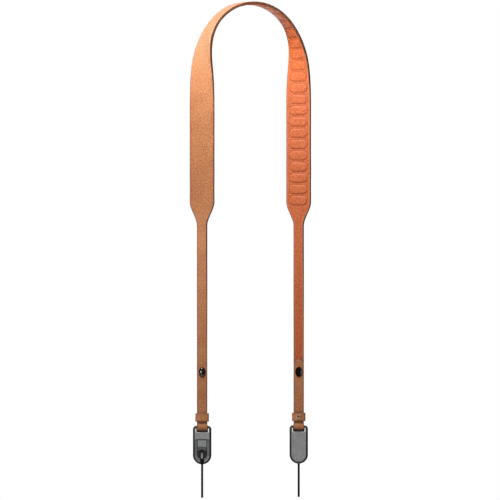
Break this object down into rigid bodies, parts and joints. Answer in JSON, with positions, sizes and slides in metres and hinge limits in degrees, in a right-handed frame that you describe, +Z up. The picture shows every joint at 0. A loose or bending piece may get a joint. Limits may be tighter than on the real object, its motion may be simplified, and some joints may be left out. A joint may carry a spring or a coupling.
{
  "type": "camera neck strap",
  "caption": "Padded leather neck band that tapers to narrow ends, each folded through a quick-release connector with a cord loop for a camera lug.",
  "frame": {"origin": "underside of the band at the top of the arch, where a neck or a peg carries it", "axes": "+Z up; +X from the leg that shows its outer leather to the leg that shows its lining; -Y towards the viewer of the picture"},
  "size_m": [0.1578, 0.0724, 0.6441],
  "materials": {
    "outer_leather": "tan pebbled leather with painted edges",
    "lining_leather": "smooth orange-brown lining leather with raised pads",
    "keeper_leather": "tan leather loop, sewn closed on the lining side",
    "stud_metal": "glossy black-nickel",
    "housing_plastic": "fine matte grey",
    "button_plastic": "matte grey with a fine grid",
    "anchor_plastic": "satin dark grey",
    "cord_fabric": "tightly braided black cord"
  },
  "bodies": {
    "strap": {"strap_outer": "outer_leather", "strap_lining": "lining_leather", "left_stud_head": "stud_metal", "left_stud_cap": "stud_metal", "left_keeper": "keeper_leather", "right_stud_head": "stud_metal", "right_stud_cap": "stud_metal", "right_keeper": "keeper_leather"},
    "left_connector": {"left_housing": "housing_plastic", "left_anchor": "anchor_plastic", "left_cord": "cord_fabric"},
    "left_release": {"left_button": "button_plastic"},
    "right_connector": {"right_housing": "housing_plastic", "right_anchor": "anchor_plastic", "right_cord": "cord_fabric"},
    "right_release": {"right_button": "button_plastic"}
  },
  "joints": [
    {"name": "left_connector_swing", "type": "hinge", "parent": "strap", "child": "left_connector", "pos_m": [-0.06277, -0.02095, -0.5485], "axis": [1, 0, 0], "range_deg": [-80, 80]},
    {"name": "left_button_press", "type": "slide", "parent": "left_connector", "child": "left_release", "axis": [0, 1, 0], "range_m": [0, 0.0013], "stiffness_N_per_m": 600},
    {"name": "right_connector_swing", "type": "hinge", "parent": "strap", "child": "right_connector", "pos_m": [0.06277, 0.02095, -0.5485], "axis": [1, 0, 0], "range_deg": [-80, 80]},
    {"name": "right_button_press", "type": "slide", "parent": "right_connector", "child": "right_release", "axis": [0, -1, 0], "range_m": [0, 0.0013], "stiffness_N_per_m": 600}
  ]
}
